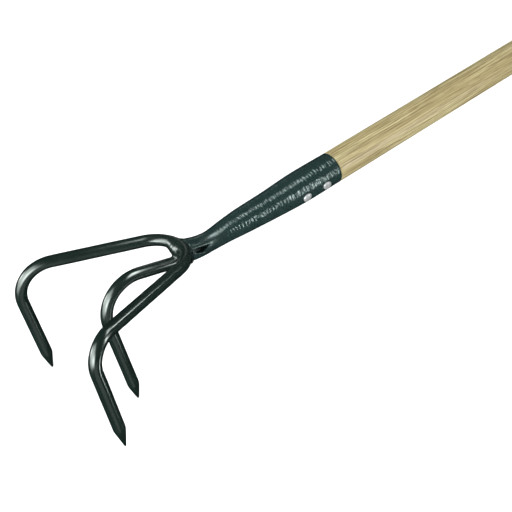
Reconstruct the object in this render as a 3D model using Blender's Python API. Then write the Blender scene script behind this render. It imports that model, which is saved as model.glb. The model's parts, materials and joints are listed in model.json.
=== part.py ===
"""Long-handled three-tine cultivator: ash shaft, riveted steel socket and welded round-bar tines.

The tool is modelled along its own axes: X runs up the handle from the socket's mouth at x = 0,
the tines hang down -Z, and the head mirrors in the XZ plane. The empty "rest_pose" then lays the
tool down as it rests on a flat floor, on the middle tine, one outer tine and the shaft's end,
with its shaft along world X and the middle of its footprint at the world origin.
"""

from math import cos, hypot, pi, radians, sin, tan

import bmesh
import bpy
from mathutils import Matrix, Vector

# ---------------------------------------------------------------- driving dimensions, in metres
MM = 0.001
FIT_GAP = 0.3 * MM              # clearance between pieces that touch

SHAFT_RADIUS = 14.0 * MM        # 28 mm (1 1/8 in) ash
SHAFT_LENGTH = 1220.0 * MM      # 48 in, with the tapered end inside the socket
SHAFT_TAPER_LENGTH = 98.0 * MM
SHAFT_TAPER_RADII = (12.0 * MM, 7.6 * MM)   # at the mouth and at the inner end
SHAFT_END_ROUNDING = 5.0 * MM
SHAFT_CHAMFER = 0.6 * MM

SOCKET_WALL = 1.6 * MM
# Outline of the socket: distance ahead of the mouth, outer radius, rise of the centre
SOCKET_STATIONS = (
    (0.0, 14.0, 0.0),
    (38.0, 14.1, 0.3),
    (70.0, 12.5, 0.5),
    (99.0, 11.05, 1.4),
    (115.0, 9.7, 1.5),
    (130.0, 8.6, 1.1),
    (140.0, 9.0, 2.0),
    (148.0, 9.7, 3.9),
    (156.0, 10.2, 6.2),
)
RINGS_PER_BAY = 3

SEAM_ANGLE = radians(22.0)      # of the open seam, above the level on the near side
SEAM_RISE = 2.0 * MM            # of the neck's centre at the gap
# Where the seam gapes in the neck: distance ahead of the mouth, height up the socket's side
SEAM_GAP_OUTLINE = ((150.5, 3.5), (150.9, 1.3), (146.9, -2.3), (142.0, -3.75), (135.4, -0.75))

BAR_RADIUS = 5.0 * MM           # 10 mm round bar
ARC_STEP = radians(9.0)
CROWN_VERTEX = Vector((-104.5, 1.2, 4.1)) * MM      # where the lines of the outer shanks meet
OUTER_CORNER = Vector((-273.6, 64.9, 28.0)) * MM    # where the lines of shank and leg meet
OUTER_TIP = Vector((-273.0, 61.2, -76.3)) * MM
CROWN_BEND = 28.8 * MM          # bend radii, to the bar's centre line
FAR_BEND = 29.0 * MM            # the two legs were bent by hand and differ
NEAR_BEND = 21.0 * MM
MIDDLE_ROOT = Vector((-151.0, 0.0, -3.4)) * MM
MIDDLE_CORNER = Vector((-234.8, 0.0, 21.5)) * MM
MIDDLE_TIP = Vector((-231.8, 0.0, -102.3)) * MM
MIDDLE_BEND = 29.0 * MM
POINT_LENGTH = 17.0 * MM        # ground point of the far and middle tines
NEAR_POINT_LENGTH = 21.0 * MM
# Share of the point's length from its shoulder, share of the bar's radius
POINT_PROFILE = ((0.0, 1.0), (0.12, 0.93), (0.92, 0.22), (1.0, 0.1))
POINT_OFFSET = 0.7 * MM         # the point sits slightly outside the bar's centre line

RIVET_PLACES = (16.5 * MM, 38.5 * MM)   # ahead of the mouth
RIVET_TILT = radians(13.0)      # the near heads lie this far below the level
RIVET_SHANK_RADIUS = 2.4 * MM
RIVET_HEAD_RADIUS = 4.0 * MM
RIVET_HEAD_EDGE = 0.4 * MM
RIVET_HEAD_HEIGHT = 1.8 * MM
RIVET_SEAT = 13.5 * MM          # distance of the flat seats from the shaft's axis
RIVET_SEAT_MARGIN = 0.7 * MM    # of the seat around the head

CROTCH_WELD_CENTRE = Vector((-160.2, 1.0, 8.0)) * MM
CROTCH_WELD_RADII = Vector((3.8, 7.5, 4.5)) * MM
COLLAR_WELD_RADIUS = 1.1 * MM
COLLAR_WELD_REACH = radians(50.0)       # either side of the top
COLLAR_WELD_STEPS = 12
COLLAR_WELD_SEARCH = 40         # places tried along each bay of the socket

ROUND_SIDES = 32
BAR_SIDES = 16
RIVET_SIDES = 24
RIVET_DOME_STEPS = 4
RIVET_DOME_SWEEP = radians(80.0)        # leaves a small flat on top of the dome
SHAFT_END_STEPS = 6
CREASE_ANGLE = radians(35.0)
CUTTER_REACH = 30.0 * MM
FIRST_UP = Vector((0.0, -0.4, 0.9))     # rough direction of up once the tool has rolled over
REST_ROUNDS = 8


# ---------------------------------------------------------------- scene helpers
def clear_scene():
    for thing in list(bpy.data.objects):
        bpy.data.objects.remove(thing, do_unlink=True)


def make_material(name, colour, roughness, metallic):
    look = bpy.data.materials.new(name)
    look.use_nodes = True
    look.diffuse_color = (*colour, 1.0)
    shader = look.node_tree.nodes["Principled BSDF"]
    shader.inputs["Base Color"].default_value = (*colour, 1.0)
    shader.inputs["Roughness"].default_value = roughness
    shader.inputs["Metallic"].default_value = metallic
    return look


def add_object(name, data, look, parent):
    piece = bpy.data.objects.new(name, data)
    if look is not None:
        data.materials.append(look)
    bpy.context.collection.objects.link(piece)
    piece.parent = parent
    return piece


def mesh_from(name, bm):
    bmesh.ops.recalc_face_normals(bm, faces=bm.faces)
    mesh = bpy.data.meshes.new(name)
    bm.to_mesh(mesh)
    bm.free()
    mesh.shade_smooth()
    mesh.set_sharp_from_angle(angle=CREASE_ANGLE)
    return mesh


def evaluated_mesh(piece):
    graph = bpy.context.evaluated_depsgraph_get()
    return bpy.data.meshes.new_from_object(piece.evaluated_get(graph))


def cut(piece, cutter):
    cutter.hide_render = True
    cutter.hide_set(True)
    cutter.display_type = "WIRE"
    step = piece.modifiers.new("cut_" + cutter.name, "BOOLEAN")
    step.operation = "DIFFERENCE"
    step.object = cutter


# ---------------------------------------------------------------- shape helpers
def ring(x, radius, centre_z=0.0, sides=ROUND_SIDES):
    """A circle of points across the X axis."""
    turn = 2.0 * pi / sides
    return [Vector((x, radius * cos(k * turn), centre_z + radius * sin(k * turn)))
            for k in range(sides)]


def skin(bm, rings, joined=False):
    """Skin a row of rings. The ends get flat caps, or join when the row goes round a wall."""
    rows = [[bm.verts.new(point) for point in circle] for circle in rings]
    pairs = list(zip(rows, rows[1:]))
    if joined:
        pairs.append((rows[-1], rows[0]))
    for near, far in pairs:
        for k in range(len(near)):
            after = (k + 1) % len(near)
            bm.faces.new((near[k], near[after], far[after], far[k]))
    if not joined:
        bm.faces.new(rows[0])
        bm.faces.new(rows[-1])


def turned(name, profile, look, parent, sides=ROUND_SIDES):
    """A solid of revolution about the X axis from (x, radius) pairs."""
    bm = bmesh.new()
    skin(bm, [ring(x, radius, sides=sides) for x, radius in profile])
    return add_object(name, mesh_from(name, bm), look, parent)


def smooth_stations(stations, steps):
    """Points on a smooth curve through the stations, with a few steps in every bay."""
    last = len(stations) - 1
    slopes = []
    for k in range(last + 1):
        before = stations[max(k - 1, 0)]
        after = stations[min(k + 1, last)]
        slopes.append((after - before) / (after[0] - before[0]))
    curve = []
    for k in range(last):
        bay = stations[k + 1][0] - stations[k][0]
        for step in range(steps):
            t = step / steps
            curve.append(stations[k] * (2 * t**3 - 3 * t**2 + 1)
                         + slopes[k] * bay * (t**3 - 2 * t**2 + t)
                         + stations[k + 1] * (3 * t**2 - 2 * t**3)
                         + slopes[k + 1] * bay * (t**3 - t**2))
    curve.append(stations[last])
    return curve


def rounded_path(corners, bends):
    """A path through the corners, with each inner corner replaced by an arc of its bend radius."""
    path = [corners[0]]
    for before, corner, after, bend in zip(corners, corners[1:], corners[2:], bends):
        arriving = (corner - before).normalized()
        leaving = (after - corner).normalized()
        turning = arriving.angle(leaving)
        inward = (leaving - arriving).normalized()
        centre = corner + inward * bend / cos(turning / 2.0)
        start = corner - arriving * bend * tan(turning / 2.0) - centre
        axis = arriving.cross(leaving)
        steps = max(2, round(turning / ARC_STEP))
        for step in range(steps + 1):
            path.append(centre + Matrix.Rotation(turning * step / steps, 3, axis) @ start)
    path.append(corners[-1])
    return path


def bar_curve(name, path, extra=0.0):
    """A round bar through (point, radius) pairs, with an extra thickness all round."""
    curve = bpy.data.curves.new(name, "CURVE")
    curve.dimensions = "3D"
    curve.bevel_depth = 1.0
    curve.bevel_resolution = (BAR_SIDES - 4) // 2
    curve.use_fill_caps = True
    spline = curve.splines.new("POLY")
    spline.points.add(len(path) - 1)
    for knot, (point, radius) in zip(spline.points, path):
        knot.co = (*point, 1.0)
        knot.radius = radius + extra
    return curve


def ground_point(shank_side, tip, length):
    """The last stretch of a tine as (point, radius) pairs: full bar, taper and blunt end."""
    along = (tip - shank_side).normalized()
    stretch = []
    for share, radius in POINT_PROFILE:
        centre = tip - along * length * (1.0 - share)
        centre.x -= POINT_OFFSET * share
        stretch.append((centre, radius * BAR_RADIUS))
    return stretch


def cutter_from_curve(name, curve, parent):
    guide = add_object(name + "_guide", curve, None, parent)
    cutter = add_object(name, evaluated_mesh(guide), None, parent)
    bpy.data.objects.remove(guide, do_unlink=True)
    return cutter


# ---------------------------------------------------------------- the tines
def crown_path():
    """Centre line of the outer bar: leg, shank, crown bend, shank and leg."""
    mirror = Matrix.Diagonal((1.0, -1.0, 1.0))
    corners = [OUTER_TIP, OUTER_CORNER, CROWN_VERTEX, mirror @ OUTER_CORNER, mirror @ OUTER_TIP]
    return rounded_path(corners, (FAR_BEND, CROWN_BEND, NEAR_BEND))


def outer_bar():
    path = crown_path()
    far_point = ground_point(path[1], path[0], POINT_LENGTH)
    near_point = ground_point(path[-2], path[-1], NEAR_POINT_LENGTH)
    middle = [(point, BAR_RADIUS) for point in path[1:-1]]
    return far_point[::-1] + middle + near_point


def middle_bar():
    path = rounded_path([MIDDLE_ROOT, MIDDLE_CORNER, MIDDLE_TIP], (MIDDLE_BEND,))
    shank = [(point, BAR_RADIUS) for point in path[:-1]]
    return shank + ground_point(path[-2], path[-1], POINT_LENGTH)


# ---------------------------------------------------------------- the socket
def socket_section(rings_per_bay):
    """The socket's (distance ahead, radius, rise) along its length."""
    return smooth_stations([Vector(station) * MM for station in SOCKET_STATIONS], rings_per_bay)


def build_socket(look, parent):
    section = socket_section(RINGS_PER_BAY)
    outside = [ring(-ahead, radius, rise) for ahead, radius, rise in section]
    inside = [ring(-ahead, radius - SOCKET_WALL, rise) for ahead, radius, rise in section]
    bm = bmesh.new()
    skin(bm, outside + inside[::-1], joined=True)
    return add_object("socket", mesh_from("socket", bm), look, parent)


def seam_cutter(parent):
    """A prism that opens the rolled seam where the neck spreads towards the crown."""
    bm = bmesh.new()
    rows = [[Vector((-ahead, height, depth / MM)) * MM for ahead, height in SEAM_GAP_OUTLINE]
            for depth in (0.0, CUTTER_REACH)]
    skin(bm, rows)
    gap = add_object("seam_cutter", mesh_from("seam_cutter", bm), None, parent)
    gap.rotation_euler = (pi / 2.0 - SEAM_ANGLE, 0.0, 0.0)
    gap.location = (0.0, 0.0, SEAM_RISE)
    return gap


# ---------------------------------------------------------------- the shaft
def build_shaft(look, parent):
    wide, narrow = SHAFT_TAPER_RADII
    profile = [
        (-SHAFT_TAPER_LENGTH, narrow),
        (0.0, wide),
        (FIT_GAP, SHAFT_RADIUS - SHAFT_CHAMFER),
        (FIT_GAP + SHAFT_CHAMFER, SHAFT_RADIUS),
    ]
    round_start = SHAFT_LENGTH - SHAFT_TAPER_LENGTH - SHAFT_END_ROUNDING
    flat_radius = SHAFT_RADIUS - SHAFT_END_ROUNDING
    for step in range(SHAFT_END_STEPS + 1):
        turn = step / SHAFT_END_STEPS * pi / 2.0
        profile.append((round_start + SHAFT_END_ROUNDING * sin(turn),
                        flat_radius + SHAFT_END_ROUNDING * cos(turn)))
    return turned("shaft", profile, look, parent)


# ---------------------------------------------------------------- the rivets
def rivet_profile():
    """From the far head to the near head, along the rivet's own X axis."""
    base = RIVET_SEAT + FIT_GAP
    dome = []
    for step in range(RIVET_DOME_STEPS + 1):
        turn = step / RIVET_DOME_STEPS * RIVET_DOME_SWEEP
        dome.append((base + RIVET_HEAD_EDGE + (RIVET_HEAD_HEIGHT - RIVET_HEAD_EDGE) * sin(turn),
                     RIVET_HEAD_RADIUS * cos(turn)))
    near = [(base, RIVET_SHANK_RADIUS), (base, RIVET_HEAD_RADIUS)] + dome
    far = [(-x, radius) for x, radius in near]
    return far[::-1] + near


def rivet_pose(ahead):
    """Local X of a rivet points out at its near head."""
    out = Vector((0.0, -cos(RIVET_TILT), -sin(RIVET_TILT)))
    along = Vector((1.0, 0.0, 0.0))
    turn = Matrix((out, along.cross(out), along)).transposed()
    return Matrix.Translation((-ahead, 0.0, 0.0)) @ turn.to_4x4()


def rivet_cutters(name, pose, parent):
    """A drilled hole right through, and a flat seat under each head."""
    hole = turned(name + "_hole", [(-CUTTER_REACH, RIVET_SHANK_RADIUS + FIT_GAP),
                                   (CUTTER_REACH, RIVET_SHANK_RADIUS + FIT_GAP)],
                  None, parent, RIVET_SIDES)
    seat_radius = RIVET_HEAD_RADIUS + RIVET_SEAT_MARGIN
    seats = [turned(name + "_seat", [(side * RIVET_SEAT, seat_radius),
                                     (side * CUTTER_REACH, seat_radius)],
                    None, parent, RIVET_SIDES)
             for side in (1.0, -1.0)]
    for cutter in (hole, *seats):
        cutter.matrix_local = pose
    return hole, seats


# ---------------------------------------------------------------- the welds
def build_crotch_weld(look, parent):
    """Weld metal that fills the crotch between the crown and the middle tine."""
    bm = bmesh.new()
    bmesh.ops.create_icosphere(bm, subdivisions=3, radius=1.0)
    bmesh.ops.scale(bm, vec=CROTCH_WELD_RADII, verts=bm.verts)
    bmesh.ops.translate(bm, vec=CROTCH_WELD_CENTRE, verts=bm.verts)
    return add_object("crotch_weld", mesh_from("crotch_weld", bm), look, parent)


def crown_bend_circle():
    """Centre and plane normal of the crown's bend."""
    near_corner = Matrix.Diagonal((1.0, -1.0, 1.0)) @ OUTER_CORNER
    arriving = (CROWN_VERTEX - OUTER_CORNER).normalized()
    leaving = (near_corner - CROWN_VERTEX).normalized()
    inward = (leaving - arriving).normalized()
    centre = CROWN_VERTEX + inward * CROWN_BEND / cos(arriving.angle(leaving) / 2.0)
    return centre, arriving.cross(leaving).normalized()


def collar_weld_path():
    """The bead's centre line, in the corner between the socket's end and the crown."""
    centre, normal = crown_bend_circle()
    clearance = COLLAR_WELD_RADIUS + FIT_GAP
    generators = socket_section(COLLAR_WELD_SEARCH)
    path = []
    for step in range(COLLAR_WELD_STEPS + 1):
        turn = (2.0 * step / COLLAR_WELD_STEPS - 1.0) * COLLAR_WELD_REACH
        for ahead, radius, rise in generators[::-1]:
            reach = radius + clearance
            place = Vector((-ahead, reach * sin(turn), rise + reach * cos(turn)))
            off_plane = (place - centre).dot(normal)
            in_plane = ((place - centre) - normal * off_plane).length
            if hypot(off_plane, in_plane - CROWN_BEND) > BAR_RADIUS + clearance:
                break
        path.append((place, COLLAR_WELD_RADIUS))
    return path


# ---------------------------------------------------------------- resting on the floor
def world_points(pieces):
    points = []
    for piece in pieces:
        mesh = evaluated_mesh(piece)
        points.append([piece.matrix_world @ corner.co for corner in mesh.vertices])
        bpy.data.meshes.remove(mesh)
    return points


def rest_matrix(outer, middle, shaft, others):
    """Turn the tool onto its three contacts and centre its footprint on the origin."""
    bpy.context.view_layer.update()
    clouds = world_points((outer, middle, shaft, *others))
    outer_leg = [point for point in clouds[0] if point.y > 0.0]
    up = FIRST_UP.normalized()
    for _ in range(REST_ROUNDS):
        feet = [min(cloud, key=up.dot) for cloud in (outer_leg, clouds[1], clouds[2])]
        up = (feet[1] - feet[0]).cross(feet[2] - feet[0]).normalized()
        if up.z < 0.0:
            up.negate()
    along = (Vector((1.0, 0.0, 0.0)) - up * up.x).normalized()
    turn = Matrix((along, up.cross(along), up))
    placed = [turn @ point for cloud in clouds for point in cloud]
    low = Vector([min(point[k] for point in placed) for k in range(3)])
    high = Vector([max(point[k] for point in placed) for k in range(3)])
    middle_of_base = Vector(((low.x + high.x) / 2.0, (low.y + high.y) / 2.0, low.z))
    return Matrix.Translation(-middle_of_base) @ turn.to_4x4()


def main():
    clear_scene()
    hammered = make_material("hammered_green_paint", (0.018, 0.045, 0.042), 0.32, 0.0)
    gloss = make_material("gloss_green_paint", (0.010, 0.026, 0.022), 0.16, 0.0)
    ash = make_material("lacquered_ash", (0.62, 0.43, 0.24), 0.45, 0.0)
    bright = make_material("bright_steel", (0.75, 0.76, 0.76), 0.28, 1.0)

    rest_pose = bpy.data.objects.new("rest_pose", None)
    bpy.context.collection.objects.link(rest_pose)

    shaft = build_shaft(ash, rest_pose)
    socket = build_socket(hammered, rest_pose)
    outer = add_object("outer_tines", bar_curve("outer_tines", outer_bar()),
                       gloss, rest_pose)
    middle = add_object("middle_tine", bar_curve("middle_tine", middle_bar()),
                        gloss, rest_pose)
    crotch_weld = build_crotch_weld(gloss, rest_pose)
    collar_weld = add_object("collar_weld", bar_curve("collar_weld", collar_weld_path()),
                             hammered, rest_pose)

    crown_cutter = cutter_from_curve(
        "crown_cutter", bar_curve("crown_cutter", outer_bar(), FIT_GAP), rest_pose)
    middle_cutter = cutter_from_curve(
        "middle_cutter", bar_curve("middle_cutter", middle_bar(), FIT_GAP), rest_pose)
    for piece in (socket, crotch_weld):
        cut(piece, crown_cutter)
        cut(piece, middle_cutter)
    cut(socket, seam_cutter(rest_pose))

    rivets = []
    for number, ahead in enumerate(RIVET_PLACES, 1):
        name = f"rivet_{number}"
        pose = rivet_pose(ahead)
        rivet = turned(name, rivet_profile(), bright, rest_pose, RIVET_SIDES)
        rivet.matrix_local = pose
        rivets.append(rivet)
        hole, seats = rivet_cutters(name, pose, rest_pose)
        cut(shaft, hole)
        for cutter in (hole, *seats):
            cut(socket, cutter)

    rest_pose.matrix_world = rest_matrix(
        outer, middle, shaft, (socket, crotch_weld, collar_weld, *rivets))


main()
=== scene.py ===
"""The three-tine cultivator's looks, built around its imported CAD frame.

Every piece is modelled in the tool's own frame: X runs up the handle from the socket's mouth at
x = 0, so the head lies at negative x, and the tines hang down -Z. TOOL, a matrix worked out from
the record's shaft_end mount, lays that frame on the floor where the CAD model lies.
"""

import json
from math import ceil, cos, pi, radians, sin, tan

import bmesh
import bpy
import numpy as np
from mathutils import Matrix, Vector, noise


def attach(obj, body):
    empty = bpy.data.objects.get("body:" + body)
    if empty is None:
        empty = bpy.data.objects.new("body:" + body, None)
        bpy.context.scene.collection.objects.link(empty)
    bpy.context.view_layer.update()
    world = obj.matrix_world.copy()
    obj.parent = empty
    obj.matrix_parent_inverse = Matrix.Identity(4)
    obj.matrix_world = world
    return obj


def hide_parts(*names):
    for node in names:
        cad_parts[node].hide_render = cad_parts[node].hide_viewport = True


# ---------------------------------------------------------------- driving dimensions, in metres
MM = 0.001

SHAFT_RADIUS = 14.0 * MM
SHAFT_REACH = 1122.0 * MM       # from the socket's mouth to the shaft's flat end
SHAFT_TAPER_LENGTH = 98.0 * MM
SHAFT_TAPER_RADII = (12.0 * MM, 7.6 * MM)
SHAFT_END_ROUNDING = 5.0 * MM
SHAFT_SHOULDER = 0.6 * MM

SOCKET_LENGTH = 151.5 * MM
SOCKET_WALL = 1.6 * MM
# Outline of the socket in mm: distance ahead of the mouth, outer radius, rise of the centre
SOCKET_STATIONS = (
    (0.0, 14.0, 0.0),
    (38.0, 14.1, 0.3),
    (70.0, 12.5, 0.5),
    (99.0, 11.05, 1.4),
    (115.0, 9.7, 1.5),
    (130.0, 8.6, 1.1),
    (140.0, 9.0, 2.0),
    (148.0, 9.7, 3.9),
    (156.0, 10.2, 6.2),
)
SEAM_ANGLE = radians(22.0)      # of the open seam, above the level on the near side
SEAM_RISE = 2.0 * MM
# Where the seam gapes in the neck, in mm: distance ahead of the mouth, height up the side
SEAM_GAP_OUTLINE = ((150.5, 3.5), (150.9, 1.3), (146.9, -2.3), (142.0, -3.75), (135.4, -0.75))

BAR_RADIUS = 5.0 * MM
CROWN_VERTEX = Vector((-104.5, 1.2, 4.1)) * MM
OUTER_CORNER = Vector((-273.6, 64.9, 28.0)) * MM
OUTER_TIP = Vector((-273.0, 61.2, -76.3)) * MM
CROWN_BEND = 28.8 * MM
FAR_BEND = 29.0 * MM
NEAR_BEND = 21.0 * MM
MIDDLE_ROOT = Vector((-151.0, 0.0, -3.4)) * MM
MIDDLE_CORNER = Vector((-234.8, 0.0, 21.5)) * MM
MIDDLE_TIP = Vector((-231.8, 0.0, -102.3)) * MM
MIDDLE_BEND = 29.0 * MM
POINT_LENGTH = 17.0 * MM
NEAR_POINT_LENGTH = 21.0 * MM
# Share of the point's length from its shoulder, share of the bar's radius
POINT_PROFILE = ((0.0, 1.0), (0.06, 0.985), (0.14, 0.92), (0.5, 0.60), (0.88, 0.25),
                 (0.96, 0.17), (1.0, 0.07))
POINT_OFFSET = 0.7 * MM         # by which a point's end lies ahead of the bar's centre

RIVET_PLACES = (16.5 * MM, 38.5 * MM)
RIVET_TILT = radians(13.0)      # below the level on the near side
RIVET_HEAD_RADIUS = 4.0 * MM
RIVET_HEAD_HEIGHT = 1.8 * MM
RIVET_SEAT = 13.5 * MM          # from the shaft's centre to the flat under a head

TOOL_ROLL = radians(25.08)      # how far the tool has rolled about its shaft to lie on its tines

ARC_STEP = radians(2.5)
BAR_SIDES = 56
SHAFT_SIDES = 96
BODY = "root"
STRAIGHT = 1e-6                 # a turning below this is none


# ---------------------------------------------------------------- the frame
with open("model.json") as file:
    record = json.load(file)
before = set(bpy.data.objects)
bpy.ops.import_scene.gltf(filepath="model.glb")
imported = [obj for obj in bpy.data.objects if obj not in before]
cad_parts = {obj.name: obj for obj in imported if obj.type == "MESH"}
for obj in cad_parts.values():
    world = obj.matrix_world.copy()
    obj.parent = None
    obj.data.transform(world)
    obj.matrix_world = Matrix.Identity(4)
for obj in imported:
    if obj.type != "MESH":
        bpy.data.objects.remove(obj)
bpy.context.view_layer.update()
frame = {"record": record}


def tool_matrix():
    """From the tool's own frame to the world, from the mount on the shaft's flat end."""
    mount = next(m for m in frame["record"]["mounts"] if m["name"] == "shaft_end")
    along = Vector(mount["axis"]).normalized()
    level = Vector((0.0, 0.0, 1.0)).cross(along).normalized()
    upright = along.cross(level)
    side = level * cos(TOOL_ROLL) - upright * sin(TOOL_ROLL)
    top = level * sin(TOOL_ROLL) + upright * cos(TOOL_ROLL)
    turn = Matrix((along, side, top)).transposed().to_4x4()
    mouth = Vector(mount["pos_m"]) - along * SHAFT_REACH
    return Matrix.Translation(mouth) @ turn


TOOL = tool_matrix()


# ---------------------------------------------------------------- shape helpers
def place(name, mesh, look, slot_name, *nodes):
    """Make a piece of the tool, standing for CAD nodes, from a mesh in the tool's own frame."""
    mesh.transform(TOOL)
    mesh.shade_smooth()
    mesh.materials.append(look)
    piece = bpy.data.objects.new(name, mesh)
    bpy.context.scene.collection.objects.link(piece)
    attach(piece, BODY)
    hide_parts(*nodes)


def skin(name, rings):
    """A mesh over a row of rings, with both ends closed by a fan."""
    bm = bmesh.new()
    rows = [[bm.verts.new(point) for point in circle] for circle in rings]
    for near, far in zip(rows, rows[1:]):
        for k in range(len(near)):
            after = (k + 1) % len(near)
            bm.faces.new((near[k], near[after], far[after], far[k]))
    for row in (rows[0], rows[-1]):
        middle = bm.verts.new(sum((v.co for v in row), Vector()) / len(row))
        for k in range(len(row)):
            bm.faces.new((row[k], row[(k + 1) % len(row)], middle))
    bmesh.ops.recalc_face_normals(bm, faces=bm.faces)
    mesh = bpy.data.meshes.new(name)
    bm.to_mesh(mesh)
    bm.free()
    return mesh


def rounded_path(corners, bends, straight_step):
    """A path through the corners, with arcs for the bends and evenly spaced straights."""
    knots = [corners[0]]
    for before, corner, after, bend in zip(corners, corners[1:], corners[2:], bends):
        arriving = (corner - before).normalized()
        leaving = (after - corner).normalized()
        turning = arriving.angle(leaving)
        inward = (leaving - arriving).normalized()
        centre = corner + inward * bend / cos(turning / 2.0)
        start = corner - arriving * bend * tan(turning / 2.0) - centre
        axis = arriving.cross(leaving)
        steps = max(2, round(turning / ARC_STEP))
        for step in range(steps + 1):
            knots.append(centre + Matrix.Rotation(turning * step / steps, 3, axis) @ start)
    knots.append(corners[-1])
    path = [knots[0]]
    for near, far in zip(knots, knots[1:]):
        steps = max(1, round((far - near).length / straight_step))
        path.extend(near.lerp(far, step / steps) for step in range(1, steps + 1))
    return path


def crown_path(step):
    """The outer bar's centre line, from the far point over the crown to the near point."""
    mirror = Matrix.Diagonal((1.0, -1.0, 1.0))
    corners = [OUTER_TIP, OUTER_CORNER, CROWN_VERTEX, mirror @ OUTER_CORNER, mirror @ OUTER_TIP]
    return rounded_path(corners, (FAR_BEND, CROWN_BEND, NEAR_BEND), step)


def middle_path(step):
    """The middle bar's centre line, from under the crown to its point."""
    return rounded_path([MIDDLE_ROOT, MIDDLE_CORNER, MIDDLE_TIP], (MIDDLE_BEND,), step)


# ---------------------------------------------------------------- solid fields
# A field is negative inside the metal and about the distance to its surface elsewhere.
SETTLE_ROUNDS = 4
SLOPE_REACH = 0.05              # how far to each side a slope is read, as a share of the pitch
LEAST_SQUARED_SLOPE = 0.05
LONGEST_MOVE = 0.5              # of a point in one round, as a share of the pitch


def joined(first, second, blend):
    """The union of two distance fields, with a fillet about as wide as blend."""
    share = np.clip(0.5 + 0.5 * (second - first) / blend, 0.0, 1.0)
    return second * (1.0 - share) + first * share - blend * share * (1.0 - share)


def cut_by(first, second, blend):
    """The first field without the second, with the edges rounded over about blend."""
    return -joined(-first, second, blend)


def distance_to_path(points, path):
    """Distance from every point to the nearest piece of a polyline."""
    nearest = np.full(points.shape[:-1], np.inf)
    for start, end in zip(path, path[1:]):
        origin = np.array(start)
        span = np.array(end) - origin
        offset = points - origin
        share = np.clip(offset @ span / (span @ span), 0.0, 1.0)
        gap = offset - share[..., None] * span
        nearest = np.minimum(nearest, np.sqrt((gap * gap).sum(axis=-1)))
    return nearest


def station_curve(column):
    """One column of the socket's outline against the distance ahead, as a smooth table."""
    stations = np.array(SOCKET_STATIONS) * MM
    ahead = stations[:, 0]
    value = stations[:, column]
    slopes = np.empty_like(value)
    slopes[1:-1] = (value[2:] - value[:-2]) / (ahead[2:] - ahead[:-2])
    slopes[0] = (value[1] - value[0]) / (ahead[1] - ahead[0])
    slopes[-1] = (value[-1] - value[-2]) / (ahead[-1] - ahead[-2])

    def read(distance):
        inside = np.clip(distance, ahead[0], ahead[-1])
        bay = np.clip(np.searchsorted(ahead, inside, side="right") - 1, 0, len(ahead) - 2)
        width = ahead[bay + 1] - ahead[bay]
        t = (inside - ahead[bay]) / width
        return (value[bay] * (2 * t**3 - 3 * t**2 + 1) + slopes[bay] * width * (t**3 - 2 * t**2 + t)
                + value[bay + 1] * (3 * t**2 - 2 * t**3) + slopes[bay + 1] * width * (t**3 - t**2))

    return read


socket_radius = station_curve(1)
socket_rise = station_curve(2)


def socket_outside(points):
    """Distance outside the socket's outer wall."""
    ahead = -points[..., 0]
    return np.hypot(points[..., 1], points[..., 2] - socket_rise(ahead)) - socket_radius(ahead)


def seam_gap(points):
    """Distance outside the wedge where the rolled seam gapes."""
    outline = np.array(SEAM_GAP_OUTLINE) * MM
    out = -points[..., 1] * cos(SEAM_ANGLE) + (points[..., 2] - SEAM_RISE) * sin(SEAM_ANGLE)
    up = points[..., 1] * sin(SEAM_ANGLE) + (points[..., 2] - SEAM_RISE) * cos(SEAM_ANGLE)
    flat = np.stack((-points[..., 0], up), axis=-1)
    outside = -out
    turning = outline[1] - outline[0]
    following = outline[2] - outline[1]
    sense = np.sign(turning[0] * following[1] - turning[1] * following[0])
    for start, end in zip(outline, np.roll(outline, -1, axis=0)):
        edge = (end - start) / np.hypot(*(end - start))
        away = flat - start
        outside = np.maximum(outside, sense * (away[..., 0] * edge[1] - away[..., 1] * edge[0]))
    return outside


def rivet_axis():
    """The way from the shaft's centre out through the near rivet heads."""
    return np.array((0.0, -cos(RIVET_TILT), -sin(RIVET_TILT)))


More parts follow.
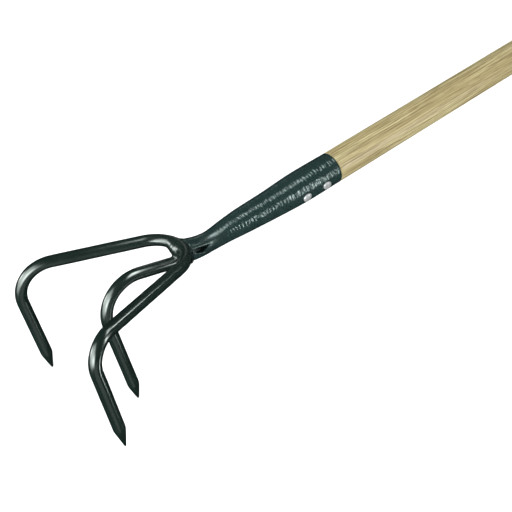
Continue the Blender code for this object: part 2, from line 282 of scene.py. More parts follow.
def mesh_of_field(name, field, low, high, pitch):
    """The surface where a field is zero, by surface nets, then settled onto the field."""
    low = np.array(low)
    counts = [int(ceil((top - bottom) / pitch)) + 1 for bottom, top in zip(low, high)]
    axes = [low[k] + pitch * np.arange(counts[k]) for k in range(3)]
    values = field(np.stack(np.meshgrid(*axes, indexing="ij"), axis=-1))
    inside = values < 0.0
    cells = tuple(count - 1 for count in counts)
    total = np.zeros(cells + (3,))
    crossings = np.zeros(cells)
    for axis in range(3):
        others = [k for k in range(3) if k != axis]
        for shift in ((0, 0), (0, 1), (1, 0), (1, 1)):
            start = [0, 0, 0]
            start[others[0]], start[others[1]] = shift
            end = list(start)
            end[axis] = 1
            here = tuple(slice(start[k], start[k] + cells[k]) for k in range(3))
            there = tuple(slice(end[k], end[k] + cells[k]) for k in range(3))
            crossed = inside[here] != inside[there]
            span = np.where(crossed, values[here] - values[there], 1.0)
            share = np.where(crossed, values[here] / span, 0.0)
            for k in range(3):
                total[..., k] += crossed * (start[k] + (share if k == axis else 0.0))
            crossings += crossed
    used = crossings > 0
    number = np.full(cells, -1)
    number[used] = np.arange(used.sum())
    points = (np.argwhere(used) + total[used] / crossings[used][:, None]) * pitch + low
    faces = []
    for axis in range(3):
        first, second = [(1, 2), (2, 0), (0, 1)][axis]
        here = [slice(None)] * 3
        there = [slice(None)] * 3
        here[axis] = slice(0, -1)
        there[axis] = slice(1, None)
        near, far = inside[tuple(here)], inside[tuple(there)]
        for flip in (False, True):
            edges = np.argwhere(near & ~far if flip else ~near & far)
            keep = np.all([(edges[:, k] > 0) & (edges[:, k] < counts[k] - 1)
                           for k in (first, second)], axis=0)
            edges = edges[keep]
            ring = []
            for step in ((0, 0), (-1, 0), (-1, -1), (0, -1)):
                cell = edges.copy()
                cell[:, first] += step[0]
                cell[:, second] += step[1]
                ring.append(number[cell[:, 0], cell[:, 1], cell[:, 2]])
            quad = np.stack(ring, axis=-1)
            faces.append(quad if flip else quad[:, ::-1])
    reach = pitch * SLOPE_REACH
    for _ in range(SETTLE_ROUNDS):
        slope = np.stack([field(points + reach * axis) - field(points - reach * axis)
                          for axis in np.eye(3)], axis=-1) / (2.0 * reach)
        steep = np.maximum((slope * slope).sum(axis=-1), LEAST_SQUARED_SLOPE)
        move = -field(points)[:, None] * slope / steep[:, None]
        points = points + np.clip(move, -pitch * LONGEST_MOVE, pitch * LONGEST_MOVE)
    mesh = bpy.data.meshes.new(name)
    mesh.from_pydata(points.tolist(), [], np.concatenate(faces).tolist())
    mesh.validate()
    return mesh


# ---------------------------------------------------------------- the socket
RIM_ROUNDING = 0.5 * MM
SEAT_DISH_RADIUS = 11.0 * MM
SEAT_BLEND = 1.6 * MM
LIP_ROUNDING = 0.9 * MM
SOCKET_PITCH = 0.55 * MM
SOCKET_HALF_WIDTH = 17.0 * MM   # half the box that the socket is meshed in
NECK_ROOM = 1.0 * MM            # above it, for the neck's rise
END_ROOM = 2.0 * MM             # beyond each end of it


def socket_field(points):
    """The rolled tube with a flat seat under each rivet head and the seam's gap cut out."""
    outside = socket_outside(points)
    out = rivet_axis()
    for ahead in RIVET_PLACES:
        for side in (1.0, -1.0):
            centre = out * side * (RIVET_SEAT + SEAT_DISH_RADIUS) + np.array((-ahead, 0.0, 0.0))
            offset = points - centre
            dish = np.sqrt((offset * offset).sum(axis=-1)) - SEAT_DISH_RADIUS
            outside = cut_by(outside, dish, SEAT_BLEND)
    shell = cut_by(outside, socket_outside(points) + SOCKET_WALL, RIM_ROUNDING)
    shell = cut_by(shell, -points[..., 0], RIM_ROUNDING)
    shell = cut_by(shell, SOCKET_LENGTH + points[..., 0], RIM_ROUNDING)
    return cut_by(shell, seam_gap(points), LIP_ROUNDING)


def build_socket(look):
    low = (-SOCKET_LENGTH - END_ROOM, -SOCKET_HALF_WIDTH, -SOCKET_HALF_WIDTH)
    high = (END_ROOM, SOCKET_HALF_WIDTH, SOCKET_HALF_WIDTH + NECK_ROOM)
    mesh = mesh_of_field("socket_shell", socket_field, low, high, SOCKET_PITCH)
    place("socket_shell", mesh, look, "hammered_paint", "socket")


# ---------------------------------------------------------------- the welds
WELD_SINK = 0.05 * MM           # how far a weld's edge dips under what it lies on
WELD_PITCH = 0.4 * MM
WELD_REACH = 17.0 * MM          # radius of the ball that a weld is kept within
WELD_ROOM = 1.0 * MM            # round that ball, in the box that is meshed
WELD_PATH_STEP = 2.0 * MM
NEARBY = 1.8                    # how far from a weld a bar still matters, in reaches
COLLAR_CENTRE = Vector((-148.0, 0.0, 4.0)) * MM
COLLAR_BLEND = 3.5 * MM
COLLAR_END = 150.5 * MM
CROTCH_CENTRE = Vector((-160.4, 3.2, 9.0)) * MM
CROTCH_RADII = Vector((3.9, 8.4, 4.8)) * MM     # of the puddle of metal in the crotch
CROTCH_BLEND = 7.0 * MM
PUDDLE_BLEND = 3.0 * MM
PUDDLE_RIPPLE = 0.06 * MM
RIPPLE_SPACING = 3.4 * MM
RIPPLE_LEAN = 0.3               # how much the ripples lean up the puddle


def near_stretch(path, centre):
    """The part of a path that can matter near a weld."""
    return [point for point in path if (point - centre).length < WELD_REACH * NEARBY]


def weld_mesh(name, metal, centre):
    """The mesh of a field that is cut off at a ball round the weld."""
    def field(points):
        offset = points - np.array(centre)
        ball = np.sqrt((offset * offset).sum(axis=-1)) - WELD_REACH
        return np.maximum(metal(points), ball)

    corner = Vector((1.0, 1.0, 1.0)) * (WELD_REACH + WELD_ROOM)
    return mesh_of_field(name, field, centre - corner, centre + corner, WELD_PITCH)


def build_collar_weld(look):
    """The fillet between the crown and the socket's end."""
    crown = near_stretch(crown_path(WELD_PATH_STEP), COLLAR_CENTRE)

    def metal(points):
        bar = distance_to_path(points, crown) - BAR_RADIUS
        neck = np.maximum(socket_outside(points), -points[..., 0] - COLLAR_END)
        fillet = joined(neck, bar, COLLAR_BLEND) + WELD_SINK
        return cut_by(fillet, seam_gap(points), LIP_ROUNDING)

    mesh = weld_mesh("collar_weld_metal", metal, COLLAR_CENTRE)
    place("collar_weld_metal", mesh, look, "hammered_paint", "collar_weld")


def build_crotch_weld(look):
    """The fillet between the two bars, with a rippled puddle of metal in the crotch."""
    crown = near_stretch(crown_path(WELD_PATH_STEP), CROTCH_CENTRE)
    middle = near_stretch(middle_path(WELD_PATH_STEP), CROTCH_CENTRE)

    def metal(points):
        bar = distance_to_path(points, crown) - BAR_RADIUS
        tine = distance_to_path(points, middle) - BAR_RADIUS
        offset = points - np.array(CROTCH_CENTRE)
        scaled = offset / np.array(CROTCH_RADII)
        puddle = (np.sqrt((scaled * scaled).sum(axis=-1)) - 1.0) * min(CROTCH_RADII)
        puddle += PUDDLE_RIPPLE * np.sin((offset[..., 1] + RIPPLE_LEAN * offset[..., 2])
                                         * 2.0 * pi / RIPPLE_SPACING)
        return joined(joined(bar, tine, CROTCH_BLEND) + WELD_SINK, puddle, PUDDLE_BLEND)

    mesh = weld_mesh("crotch_weld_metal", metal, CROTCH_CENTRE)
    place("crotch_weld_metal", mesh, look, "gloss_paint", "crotch_weld")


# ---------------------------------------------------------------- the tines
BAR_STEP = 1.5 * MM
POINT_STEP = 0.8 * MM
BEND_FLATTENING = 0.03          # share of the radius lost across a full bend
BEND_WINDOW = 3                 # stations to each side over which a bend is read
BEND_GAIN = 4.0                 # from the turning read there to a share of a full bend
BAR_WANDER = 0.05 * MM
BAR_WANDER_PACE = 60.0          # per metre along the bar
BAR_WANDER_ROUND = 0.7          # how much the wander changes round the bar
OUTER_SEED = 3.0
MIDDLE_SEED = 9.0


def point_stretch(shank_side, tip, length):
    """The ground point as (centre, radius) pairs, from its shoulder to its blunt end."""
    along = (tip - shank_side).normalized()
    stretch = []
    for (share, radius), (after, next_radius) in zip(POINT_PROFILE, POINT_PROFILE[1:]):
        steps = max(1, round((after - share) * length / POINT_STEP))
        for step in range(steps):
            t = step / steps
            reached = share + (after - share) * t
            centre = tip - along * length * (1.0 - reached)
            centre.x -= POINT_OFFSET * reached
            stretch.append((centre, (radius + (next_radius - radius) * t) * BAR_RADIUS))
    centre = tip.copy()
    centre.x -= POINT_OFFSET
    stretch.append((centre, POINT_PROFILE[-1][1] * BAR_RADIUS))
    return stretch


def with_point(path, length):
    """A path that ends in a tip, with its last stretch replaced by the ground point."""
    tip = path[-1]
    kept = [p for p in path if (p - tip).length > length + 0.5 * BAR_STEP]
    return [(p, BAR_RADIUS) for p in kept] + point_stretch(kept[-1], tip, length)


def bar_mesh(name, stations, seed):
    """A round bar through (centre, radius) pairs, slightly flattened where it bends."""
    centres = [centre for centre, _ in stations]
    last = len(centres) - 1
    normal = None
    rings = []
    for k, (centre, radius) in enumerate(stations):
        along = (centres[min(k + 1, last)] - centres[max(k - 1, 0)]).normalized()
        if normal is None:
            normal = along.orthogonal().normalized()
        normal = (normal - along * normal.dot(along)).normalized()
        across = along.cross(normal)
        before = centres[max(k - BEND_WINDOW, 0)]
        after = centres[min(k + BEND_WINDOW, last)]
        turn = Vector()
        if 0 < k < last:
            turn = (after - centre).normalized() - (centre - before).normalized()
        bent = min(turn.length * BEND_GAIN, 1.0)
        inward = turn.normalized() if turn.length > STRAIGHT else normal
        circle = []
        for side in range(BAR_SIDES):
            angle = 2.0 * pi * side / BAR_SIDES
            ray = normal * cos(angle) + across * sin(angle)
            squeeze = 1.0 - BEND_FLATTENING * bent * ray.dot(inward) ** 2
            wander = noise.noise(centre * BAR_WANDER_PACE + ray * BAR_WANDER_ROUND
                                 + Vector((seed, 0.0, 0.0)))
            reach = radius * squeeze + BAR_WANDER * wander * min(1.0, radius / BAR_RADIUS)
            circle.append(centre + ray * reach)
        rings.append(circle)
    return skin(name, rings)


def build_tines(look):
    path = crown_path(BAR_STEP)
    half = len(path) // 2
    near = with_point(path[half:], NEAR_POINT_LENGTH)
    far = with_point(path[:half + 1][::-1], POINT_LENGTH)
    outer = bar_mesh("outer_tine_bar", far[::-1] + near[1:], OUTER_SEED)
    place("outer_tine_bar", outer, look, "gloss_paint", "outer_tines")
    stations = with_point(middle_path(BAR_STEP), POINT_LENGTH)
    middle = bar_mesh("middle_tine_bar", stations, MIDDLE_SEED)
    place("middle_tine_bar", middle, look, "gloss_paint", "middle_tine")


# ---------------------------------------------------------------- the shaft
SHAFT_STEP = 4.0 * MM
SHOULDER_START = 0.3 * MM       # from the socket's mouth
SHOULDER_STEPS = 4
END_STEPS = 10
SHAFT_WANDER = 0.08 * MM
SHAFT_WANDER_PACE = 9.0         # per metre along the shaft
SHAFT_WANDER_ROUND = 0.8        # how much the wander changes round the shaft
SHAFT_WANDER_INWARD = 0.4       # share of the wander by which it is shifted inward


def shaft_profile():
    """(x, radius) pairs from the hidden taper to the rounded end."""
    wide, narrow = SHAFT_TAPER_RADII
    profile = [(-SHAFT_TAPER_LENGTH, narrow), (0.0, wide)]
    for step in range(SHOULDER_STEPS + 1):
        turn = step / SHOULDER_STEPS * pi / 2.0
        profile.append((SHOULDER_START + SHAFT_SHOULDER * (1.0 - cos(turn)),
                        SHAFT_RADIUS - SHAFT_SHOULDER * (1.0 - sin(turn))))
    straight_end = SHAFT_REACH - SHAFT_END_ROUNDING
    start = profile[-1][0]
    steps = round((straight_end - start) / SHAFT_STEP)
    profile.extend((start + (straight_end - start) * k / steps, SHAFT_RADIUS)
                   for k in range(1, steps))
    for step in range(END_STEPS + 1):
        turn = step / END_STEPS * pi / 2.0
        profile.append((straight_end + SHAFT_END_ROUNDING * sin(turn),
                        SHAFT_RADIUS - SHAFT_END_ROUNDING * (1.0 - cos(turn))))
    return profile


def build_shaft(look):
    rings = []
    for x, radius in shaft_profile():
        circle = []
        for side in range(SHAFT_SIDES):
            angle = 2.0 * pi * side / SHAFT_SIDES
            ray = Vector((0.0, cos(angle), sin(angle)))
            wander = noise.noise(Vector((x * SHAFT_WANDER_PACE, 0.0, 0.0))
                                 + ray * SHAFT_WANDER_ROUND) - SHAFT_WANDER_INWARD
            reach = radius + SHAFT_WANDER * wander * (1.0 if x > 0.0 else 0.0)
            circle.append(Vector((x, 0.0, 0.0)) + ray * reach)
        rings.append(circle)
    place("ash_shaft", skin("ash_shaft", rings), look, "ash", "shaft")


# ---------------------------------------------------------------- the rivets
RIVET_SIDES = 40
RIVET_SHANK_RADIUS = 2.4 * MM
RIVET_SEAT_GAP = 0.1 * MM
RIVET_EDGE_INSET = 0.15 * MM    # of the head's underside
RIVET_EDGE_HEIGHT = 0.25 * MM   # where the dome starts
DOME_STEPS = 12
DOME_FULLNESS = 0.9             # below 1, the dome rises sooner and is flatter on top
DOME_TOP = 0.04                 # radius of the last ring, as a share of the head's
DENT_PACE = 350.0               # per metre
DENT_DEPTH = 0.10 * MM
OUT_OF_ROUND = 0.05


def rivet_profile():
    """(height, radius) pairs from the far head to the near head."""
    base = RIVET_SEAT + RIVET_SEAT_GAP
    near = [(base, RIVET_SHANK_RADIUS), (base, RIVET_HEAD_RADIUS - RIVET_EDGE_INSET)]
    dome = RIVET_HEAD_HEIGHT - RIVET_EDGE_HEIGHT
    for step in range(DOME_STEPS + 1):
        turn = step / DOME_STEPS * pi / 2.0
        near.append((base + RIVET_EDGE_HEIGHT + dome * sin(turn) ** DOME_FULLNESS,
                     RIVET_HEAD_RADIUS * max(cos(turn), DOME_TOP)))
    return [(-height, radius) for height, radius in reversed(near)] + near


def build_rivet(number, ahead, look):
    out = Vector(rivet_axis())
    along = Vector((1.0, 0.0, 0.0))
    across = along.cross(out)
    rings = []
    for height, radius in rivet_profile():
        circle = []
        for side in range(RIVET_SIDES):
            angle = 2.0 * pi * side / RIVET_SIDES
            ray = along * cos(angle) + across * sin(angle)
            centre = out * height - along * ahead
            dent = noise.noise(centre * DENT_PACE + ray * radius * DENT_PACE
                               + Vector((number, 0, 0)))
            lift = DENT_DEPTH * dent * (1.0 if height > 0.0 else -1.0)
            wide = radius * (1.0 + OUT_OF_ROUND * sin(angle * 2.0 + number))
            circle.append(centre + ray * wide + out * lift)
        rings.append(circle)
    name = f"rivet_{number}_heads"
    place(name, skin(name, rings), look, "bright_steel", f"rivet_{number}")


# ---------------------------------------------------------------- materials
# Colours are linear, noise scales are per metre, and a pair is a value's least and most.
PAINT_SPECULAR = 1.0
PAINT_IOR = 1.7
NOISE_SPAN = (0.3, 0.7)         # the part of a noise's range that is used


class Look:
    """A node material, with short calls for the nodes that the looks share.

    Its place is where a point lies in the tool's own frame.
    """

    def __init__(self, name, roughness, metallic=0.0, specular=0.5, ior=1.5,
                 gloss_tint=(1.0, 1.0, 1.0)):
        self.material = bpy.data.materials.new(name)
        self.material.use_nodes = True
        self.tree = self.material.node_tree
        self.shader = self.tree.nodes["Principled BSDF"]
        self.shader.inputs["Roughness"].default_value = roughness
        self.shader.inputs["Metallic"].default_value = metallic
        self.shader.inputs["Specular IOR Level"].default_value = specular
        self.shader.inputs["IOR"].default_value = ior
        self.shader.inputs["Specular Tint"].default_value = (*gloss_tint, 1.0)
        world = self.tree.nodes.new("ShaderNodeTexCoord").outputs["Object"]
        self.place = self.node("ShaderNodeMapping", {"Vector": world,
                                                     "Location": TOOL.translation,
                                                     "Rotation": TOOL.to_euler()},
                               vector_type="TEXTURE").outputs[0]

    def node(self, kind, inputs=None, **settings):
        made = self.tree.nodes.new(kind)
        for key, value in settings.items():
            setattr(made, key, value)
        for key, value in (inputs or {}).items():
            if isinstance(value, bpy.types.NodeSocket):
                self.tree.links.new(value, made.inputs[key])
            else:
                made.inputs[key].default_value = value
        return made

    def stretched(self, scale):
        """The place, with each axis at its own noise scale."""
        return self.node("ShaderNodeMapping", {"Vector": self.place, "Scale": scale}).outputs[0]

    def noise(self, vector, scale, detail, rough=0.5):
        return self.node("ShaderNodeTexNoise", {"Vector": vector, "Scale": scale, "Detail": detail,
                                                "Roughness": rough}).outputs["Fac"]

    def axes(self):
        """The place's X, Y and Z, as the outputs of one node."""
        return self.node("ShaderNodeSeparateXYZ", {0: self.place}).outputs

    def cells(self, vector, scale, smooth):
        return self.node("ShaderNodeTexVoronoi",
                         {"Vector": vector, "Scale": scale, "Smoothness": smooth},
                         feature="SMOOTH_F1").outputs["Distance"]

    def maths(self, operation, first, second=0.0, third=0.0):
        return self.node("ShaderNodeMath", {0: first, 1: second, 2: third},
                         operation=operation).outputs[0]

    def spread(self, value, span, result):
        """A smooth rise from the first result to the second over a span of the value."""
        return self.node("ShaderNodeMapRange", {"Value": value,
                                                "From Min": span[0], "From Max": span[1],
                                                "To Min": result[0], "To Max": result[1]},
                         interpolation_type="SMOOTHSTEP").outputs[0]

    def between(self, value, colours):
        """A mix of two colours that follows a noise."""
        return self.colours(value, *zip(NOISE_SPAN, colours))

    def colours(self, value, *stops):
        """A colour ramp from (position, colour) stops."""
        made = self.node("ShaderNodeValToRGB", {"Fac": value})
        points = made.color_ramp.elements
        while len(points) < len(stops):
            points.new(0.5)
        for point, (position, colour) in zip(points, stops):
            point.position = position
            point.color = (*colour, 1.0)
        return made.outputs["Color"]

    def mix(self, share, first, second):
        """The first colour, with a share of the second over it."""
        made = self.node("ShaderNodeMix", {0: share}, data_type="RGBA")
        ends = [socket for socket in made.inputs if socket.type == "RGBA"]
        for socket, value in zip(ends, (first, second)):
            if isinstance(value, bpy.types.NodeSocket):
                self.tree.links.new(value, socket)
            else:
                socket.default_value = (*value, 1.0)
        return next(socket for socket in made.outputs if socket.type == "RGBA")

    def set(self, key, value):
        """Drive one of the shader's sockets."""
        self.tree.links.new(value, self.shader.inputs[key])

    def bump(self, height, distance, strength=1.0, under=None):
        """A surface normal from a height, on top of an earlier normal if there is one."""
        inputs = {"Height": height, "Distance": distance, "Strength": strength}
        if under is not None:
            inputs["Normal"] = under
        return self.node("ShaderNodeBump", inputs).outputs[0]


GLOSS_GREENS = ((0.0045, 0.0105, 0.0085), (0.0065, 0.0145, 0.012))
GLOSS_TINT = (0.90, 1.0, 0.95)
GLOSS_ROUGHNESS = (0.17, 0.22)
CROWN_REACH = (-0.185, -0.150)  # x over which the paint grows duller toward the crown
TINE_DULLING = 0.1              # roughness gained at the crown
WELD_DULLING = 0.06
WAVE_HEIGHT = 1.2 * MM
PEEL_HEIGHT = 0.3 * MM


def gloss_paint(name, dulling):
    """Thick gloss enamel on round bar: nearly black green, with a faint orange peel."""
    look = Look(name, roughness=0.2, specular=PAINT_SPECULAR, ior=PAINT_IOR,
                gloss_tint=GLOSS_TINT)
    mottle = look.noise(look.place, 90.0, detail=4.0)
    look.set("Base Color", look.between(mottle, GLOSS_GREENS))
    smear = look.spread(look.noise(look.place, 220.0, detail=3.0), NOISE_SPAN, GLOSS_ROUGHNESS)
    dull = look.spread(look.axes()["X"], CROWN_REACH, (0.0, dulling))
    look.set("Roughness", look.maths("ADD", smear, dull))
    waves = look.bump(look.noise(look.place, 70.0, detail=2.0), WAVE_HEIGHT, strength=0.08)
    peel = look.bump(look.noise(look.place, 600.0, detail=2.0), PEEL_HEIGHT, strength=0.04,
                     under=waves)
    look.set("Normal", peel)
    return look.material


HAMMER_GREENS = ((0.009, 0.022, 0.020), (0.013, 0.028, 0.026))
FLECK_GREEN = (0.022, 0.042, 0.040)
HAMMER_TINT = (0.82, 1.0, 0.96)
HAMMER_ROUGHNESS = (0.12, 0.16)
RIDGE_SPACING = 3.0 * MM
RIDGE_HEIGHT = 0.09 * MM
RIDGE_DRIFT = 8.0               # radians by which a ridge may stray
WARP = 1.2 * MM                 # how far the pattern is pushed about
DIMPLE_SMOOTHNESS = 0.4
DIMPLE_SHARE = 0.7              # depth against the ridges
PIP_SHARE = 0.8
GRAIN_SCALES = (420, 190, 190)  # finer along the socket than round it
NECK_REACH = (-0.132, -0.100)   # x over which the texture smooths out on the neck
NECK_TEXTURE = 0.04
NECK_DULL_REACH = (-0.135, -0.105)
NECK_DULLING = 0.11
SIDE_REACH = (-0.010, -0.001)   # y over which the texture weakens a little, to SIDE_TEXTURE
SIDE_TEXTURE = 0.95
FLECK_SPAN = (0.15, 0.55)       # of the distance from a dimple's middle
FLECK_SHARE = 0.4


def hammered_paint():
    """Hammered enamel: broken ridges, dimples and pips on the tube, smooth on the neck."""
    look = Look("hammered_green_enamel", roughness=0.3, specular=PAINT_SPECULAR, ior=PAINT_IOR,
                gloss_tint=HAMMER_TINT)
    where = look.axes()
    along = where["X"]
    side = look.spread(where["Y"], SIDE_REACH, (1.0, SIDE_TEXTURE))
    strength = look.maths("MULTIPLY", look.spread(along, NECK_REACH, (NECK_TEXTURE, 1.0)), side)
    warp = look.node("ShaderNodeTexNoise", {"Vector": look.place, "Scale": 260.0,
                                            "Detail": 2.0}).outputs["Color"]
    shifted = look.node("ShaderNodeVectorMath", {0: warp, "Scale": WARP},
                        operation="SCALE").outputs[0]
    bent = look.node("ShaderNodeVectorMath", {0: look.place, 1: shifted}).outputs[0]
    squeezed = look.node("ShaderNodeMapping", {"Vector": bent, "Scale": GRAIN_SCALES}).outputs[0]
    drift = look.noise(squeezed, 1.0, detail=1.0)
    phase = look.maths("MULTIPLY_ADD", along, 2.0 * pi / RIDGE_SPACING,
                       look.maths("MULTIPLY", drift, RIDGE_DRIFT))
    ridges = look.maths("SINE", phase)
    dimples = look.cells(squeezed, 1.6, DIMPLE_SMOOTHNESS)
    pips = look.noise(bent, 800.0, detail=1.0)
    height = look.maths("MULTIPLY_ADD", dimples, DIMPLE_SHARE, ridges)
    height = look.maths("MULTIPLY_ADD", pips, PIP_SHARE, height)
    base = look.between(look.noise(look.place, 140.0, detail=3.0), HAMMER_GREENS)
    fleck = look.maths("MULTIPLY", look.spread(dimples, FLECK_SPAN, (0.0, FLECK_SHARE)), strength)
    look.set("Base Color", look.mix(fleck, base, FLECK_GREEN))
    dull = look.spread(along, NECK_DULL_REACH, (NECK_DULLING, 0.0))
    smear = look.spread(drift, NOISE_SPAN, HAMMER_ROUGHNESS)
    look.set("Roughness", look.maths("ADD", smear, dull))
    look.set("Normal", look.bump(look.maths("MULTIPLY", height, strength), RIDGE_HEIGHT))
    return look.material


LATE_WOOD = (0.19, 0.145, 0.05)
EARLY_WOOD = (0.31, 0.262, 0.12)
PALE_WOOD = (0.37, 0.33, 0.18)
DARK_STREAK = (0.13, 0.086, 0.024)
PALE_STREAK = (0.53, 0.47, 0.26)
WARM_TONE = (0.28, 0.21, 0.085)
LACQUER_ROUGHNESS = (0.28, 0.42)
LACQUER_SPECULAR = 0.8
RINGS_PER_METRE = 520.0
RING_LEAN = 0.012               # slope of the grain against the shaft
RING_BENDING = 6.0 * MM
RING_SLOPE = (0.6, 0.8)         # direction across the rings, in y and z
DRIFT_SCALES = (3.0, 40.0, 40.0)
# Each kind of streak: its noise's scales, the part of the noise it shows in, its strength
DARK_SCALES, DARK_SPAN, DARK_SHARE = (22.0, 900.0, 900.0), (0.5, 0.56), 0.7
PALE_SCALES, PALE_SPAN, PALE_SHARE = (16.0, 800.0, 800.0), (0.52, 0.58), 0.75
TONE_SCALES, TONE_SPAN, TONE_SHARE = (6.0, 60.0, 60.0), (0.35, 0.7), 0.4
STREAK_COARSENESS = 0.75
GRAIN_HEIGHT = 0.2 * MM


def ash_wood():
    """Straight-grained ash under a satin lacquer. The grain runs along the shaft."""
    look = Look("lacquered_ash", roughness=0.36, specular=LACQUER_SPECULAR)
    drift = look.noise(look.stretched(DRIFT_SCALES), 1.0, detail=2.0)
    where = look.axes()
    tilted = look.maths("MULTIPLY_ADD", where["Z"], RING_SLOPE[1],
                        look.maths("MULTIPLY", where["Y"], RING_SLOPE[0]))
    leaning = look.maths("MULTIPLY_ADD", where["X"], RING_LEAN, tilted)
    bent = look.maths("MULTIPLY_ADD", drift, RING_BENDING, leaning)
    growth = look.maths("FRACT", look.maths("MULTIPLY", bent, RINGS_PER_METRE))
    rings = look.colours(growth, (0.0, LATE_WOOD), (0.25, EARLY_WOOD), (0.8, PALE_WOOD),
                         (1.0, LATE_WOOD))
    dark = look.noise(look.stretched(DARK_SCALES), 1.0, detail=3.0, rough=STREAK_COARSENESS)
    streaked = look.mix(look.spread(dark, DARK_SPAN, (0.0, DARK_SHARE)), rings, DARK_STREAK)
    pale = look.noise(look.stretched(PALE_SCALES), 1.0, detail=3.0, rough=STREAK_COARSENESS)
    streaked = look.mix(look.spread(pale, PALE_SPAN, (0.0, PALE_SHARE)), streaked, PALE_STREAK)
    tone = look.noise(look.stretched(TONE_SCALES), 1.0, detail=2.0)
    toned = look.mix(look.spread(tone, TONE_SPAN, (0.0, TONE_SHARE)), streaked, WARM_TONE)
    look.set("Base Color", toned)
    look.set("Roughness", look.spread(dark, NOISE_SPAN, LACQUER_ROUGHNESS))
    look.set("Normal", look.bump(dark, GRAIN_HEIGHT, strength=0.25))
    return look.material


STEEL_GREYS = ((0.66, 0.69, 0.69), (0.90, 0.92, 0.92))
STEEL_METALLIC = 0.75
STEEL_ROUGHNESS = (0.34, 0.52)
SCUFF_HEIGHT = 0.2 * MM


def rivet_steel():
    """Bright clenched rivet heads, finely scuffed."""
    look = Look("bright_rivet_steel", roughness=0.4, metallic=STEEL_METALLIC)
    scuff = look.noise(look.place, 900.0, detail=4.0)
    look.set("Base Color", look.between(scuff, STEEL_GREYS))
    look.set("Roughness", look.spread(scuff, NOISE_SPAN, STEEL_ROUGHNESS))
    look.set("Normal", look.bump(scuff, SCUFF_HEIGHT, strength=0.3))
    return look.material


# ---------------------------------------------------------------- floor, light and camera
FLOOR_SIZE = 30.0
FLOOR_GREYS = ((0.90, 0.90, 0.90), (0.92, 0.92, 0.92))
WORLD_BRIGHTNESS = 1.12

# Where the lights aim: from the socket's mouth, in the world's axes
HEAD_AIM = Vector((-0.22, 0.0, -0.02))
NECK_AIM = Vector((-0.06, 0.0, 0.0))
NEAR_BEND_AIM = Vector((-0.267, -0.055, 0.055))
# and in the tool's own frame
MIDDLE_SHANK_AIM = Vector((-200.0, 0.0, 11.0)) * MM
# Each softbox: name, compass angle and height as seen from its aim in degrees, distance, width and
# height, radiance, aim, and how wide its beam is in degrees
SOFTBOXES = (
    ("left_window", 172, 25, 1.5, (2.2, 2.0), 5.0, "head", 84),
    ("left_core", -152, 27, 1.5, (1.4, 1.4), 8.0, "head", 46),
    ("back_core", 138, 6, 1.5, (1.0, 1.0), 8.0, "head", 32),
    ("front_fill", -115, -3, 1.4, (1.1, 1.2), 0.22, "head", 180),
    ("far_window", 54, 1, 0.5, (0.2, 0.12), 1.0, "middle_shank", 22),
    ("shank_light", -10, 62, 0.15, (0.2, 0.09), 9.0, "middle_shank", 52),
    ("top_strip", 22, 67, 0.7, (0.44, 0.18), 5.2, "neck", 36),
    ("shank_strip", -6, 33, 0.8, (0.32, 0.10), 14.0, "near_bend", 14),
    ("side_strip", -56, 18, 1.8, (0.22, 1.2), 7.0, "neck", 180),
    ("low_strip", -61, -18, 0.4, (0.036, 0.15), 11.0, "near_bend", 28),
)

CAMERA_PLACE = Vector((-360.4, -308.1, 656.5)) * MM     # from the socket's mouth
CAMERA_HEADING = radians(-42.42)    # about the vertical, where 0 looks along +Y
CAMERA_TILT = radians(60.11)        # how far below level it looks
CAMERA_ROLL = radians(4.64)
CAMERA_LENS = 65.7                  # mm, on a sensor of this width in mm
SENSOR_WIDTH = 36.0


def pale_floor():
    look = Look("pale_floor", roughness=0.7, specular=0.2)
    look.set("Base Color", look.between(look.noise(look.place, 3.0, detail=2.0), FLOOR_GREYS))
    bm = bmesh.new()
    bmesh.ops.create_grid(bm, x_segments=1, y_segments=1, size=FLOOR_SIZE / 2.0)
    mesh = bpy.data.meshes.new("floor")
    bm.to_mesh(mesh)
    bm.free()
    mesh.materials.append(look.material)
    floor = bpy.data.objects.new("floor", mesh)
    bpy.context.scene.collection.objects.link(floor)
    floor.visible_glossy = False    # so that the paint does not mirror the white floor
    floor.visible_shadow = False    # so that the low lights shine up through it


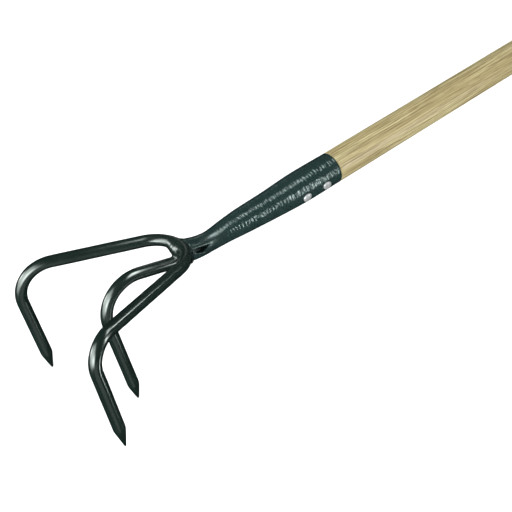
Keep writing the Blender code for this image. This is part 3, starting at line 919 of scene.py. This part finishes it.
def soft_light(name, azimuth, elevation, distance, size, radiance, target, beam):
    """A softbox at compass angles from a target, turned to face it; a grid narrows its beam.

    Its power is such that, seen straight on, it is as bright as its radiance says.
    """
    out = Vector((cos(elevation) * cos(azimuth), cos(elevation) * sin(azimuth), sin(elevation)))
    data = bpy.data.lights.new(name, "AREA")
    data.shape = "RECTANGLE"
    data.size, data.size_y = size
    data.spread = beam
    grid_gain = tan(beam / 2.0) / (tan(beam / 2.0) - beam / 2.0)
    data.energy = radiance * pi * size[0] * size[1] / grid_gain
    lamp = bpy.data.objects.new(name, data)
    bpy.context.scene.collection.objects.link(lamp)
    lamp.matrix_world = (Matrix.Translation(target + out * distance)
                         @ out.to_track_quat("Z", "Y").to_matrix().to_4x4())
    lamp.visible_camera = False


def light_scene(mouth):
    """An even white surround for the matt shading, and softboxes for the highlights."""
    world = bpy.data.worlds.new("studio")
    bpy.context.scene.world = world
    world.use_nodes = True
    backdrop = world.node_tree.nodes["Background"]
    backdrop.inputs["Color"].default_value = (1.0, 1.0, 1.0, 1.0)
    backdrop.inputs["Strength"].default_value = WORLD_BRIGHTNESS
    world.cycles_visibility.glossy = False
    aims = {"head": mouth + HEAD_AIM, "neck": mouth + NECK_AIM,
            "near_bend": mouth + NEAR_BEND_AIM, "middle_shank": TOOL @ MIDDLE_SHANK_AIM}
    for name, azimuth, elevation, distance, size, radiance, aim, beam in SOFTBOXES:
        soft_light(name, radians(azimuth), radians(elevation), distance, size, radiance, aims[aim],
                   radians(beam))


def add_camera(mouth):
    data = bpy.data.cameras.new("camera")
    data.lens = CAMERA_LENS
    data.sensor_width = SENSOR_WIDTH
    camera = bpy.data.objects.new("camera", data)
    bpy.context.scene.collection.objects.link(camera)
    turn = (Matrix.Rotation(CAMERA_HEADING, 4, "Z")
            @ Matrix.Rotation(pi / 2.0 - CAMERA_TILT, 4, "X")
            @ Matrix.Rotation(CAMERA_ROLL, 4, "Z"))
    camera.matrix_world = Matrix.Translation(mouth + CAMERA_PLACE) @ turn
    bpy.context.scene.camera = camera


# ---------------------------------------------------------------- the whole scene
mouth = TOOL.translation
bpy.context.scene.view_settings.view_transform = "Standard"
add_camera(mouth)
pale_floor()
light_scene(mouth)

gloss = gloss_paint("gloss_green_enamel", TINE_DULLING)
hammered = hammered_paint()
build_socket(hammered)
build_collar_weld(hammered)
build_crotch_weld(gloss_paint("gloss_green_weld_enamel", WELD_DULLING))
build_tines(gloss)
build_shaft(ash_wood())
bright = rivet_steel()
for rivet_number, rivet_ahead in enumerate(RIVET_PLACES, 1):
    build_rivet(rivet_number, rivet_ahead, bright)
